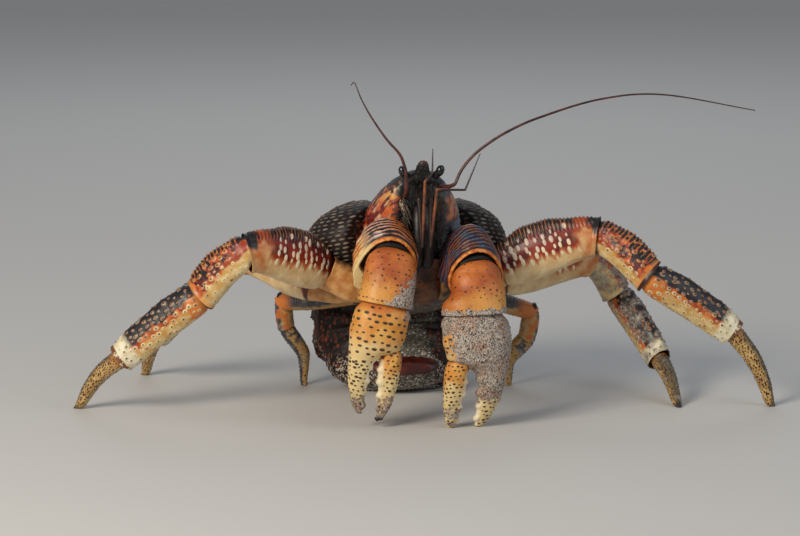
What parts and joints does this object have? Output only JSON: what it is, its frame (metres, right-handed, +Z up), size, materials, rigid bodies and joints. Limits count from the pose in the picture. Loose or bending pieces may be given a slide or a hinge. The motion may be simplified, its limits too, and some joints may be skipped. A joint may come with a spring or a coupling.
{
  "type": "coconut crab",
  "caption": "Life-size still model of a coconut crab resting on its claw, leg tips and curled abdomen, with spotted shell, heavy claws and long feelers.",
  "frame": {"origin": "centre of the model's box on the floor", "axes": "+X towards the crab's left, -Y the way it faces, +Z up"},
  "size_m": [0.5958, 0.2936, 0.2869],
  "materials": {
    "carapace": "near-black and maroon shell with orange and cream marbling on the cheeks",
    "gill_cover": "near-black shell with rows of short tan dashes",
    "underside": "brown-orange shell",
    "abdomen": "dark leathery skin with rust-red knobs",
    "tail_plate": "red-brown plate",
    "eye": "glossy black",
    "feeler_base": "orange-brown to maroon rods",
    "feeler": "maroon-brown whips",
    "mouth": "glossy black bars",
    "arm": "wavy ridges of black, orange and maroon",
    "wrist": "bright orange with small dark dots",
    "hand": "cream to orange with dark raised tubercles",
    "leg_upper": "maroon field with cream ovals, dark crest and orange end",
    "leg_lower": "blue-black above, orange-red below, cream underneath",
    "leg_tip": "ochre with dense small black spots"
  },
  "bodies": {
    "root": {"head_shield": "carapace", "rear_shield": "carapace", "gill_cover_left": "gill_cover", "gill_cover_right": "gill_cover", "thorax_base": "underside", "abdomen": "abdomen", "tail_fan": "tail_plate", "eye_left": "eye", "eyestalk_left": "carapace", "antenna_base_left": "feeler_base", "antenna_left_1": "feeler", "antenna_left_2": "feeler", "antennule_left": "feeler_base", "maxilliped_left": "mouth", "claw_left_base": "underside", "claw_left_merus": "arm", "claw_left_carpus": "wrist", "claw_left_palm": "hand", "claw_left_finger": "hand", "leg2_left_base": "underside", "leg2_left_merus": "leg_upper", "leg2_left_carpus": "leg_upper", "leg2_left_propodus": "leg_lower", "leg2_left_dactyl": "leg_tip", "leg3_left_base": "underside", "leg3_left_merus": "leg_upper", "leg3_left_carpus": "leg_upper", "leg3_left_propodus": "leg_lower", "leg3_left_dactyl": "leg_tip", "leg4_left_merus": "leg_lower", "leg4_left_carpus": "leg_upper", "leg4_left_palm": "leg_tip", "eye_right": "eye", "eyestalk_right": "carapace", "antenna_base_right": "feeler_base", "antenna_right_1": "feeler", "antenna_right_2": "feeler", "antennule_right": "feeler_base", "maxilliped_right": "mouth", "claw_right_base": "underside", "claw_right_merus": "arm", "claw_right_carpus": "wrist", "claw_right_palm": "hand", "claw_right_finger": "hand", "leg2_right_base": "underside", "leg2_right_merus": "leg_upper", "leg2_right_carpus": "leg_upper", "leg2_right_propodus": "leg_lower", "leg2_right_dactyl": "leg_tip", "leg3_right_base": "underside", "leg3_right_merus": "leg_upper", "leg3_right_carpus": "leg_upper", "leg3_right_propodus": "leg_lower", "leg3_right_dactyl": "leg_tip", "leg4_right_merus": "leg_lower", "leg4_right_carpus": "leg_upper", "leg4_right_palm": "leg_tip"}
  },
  "joints": []
}
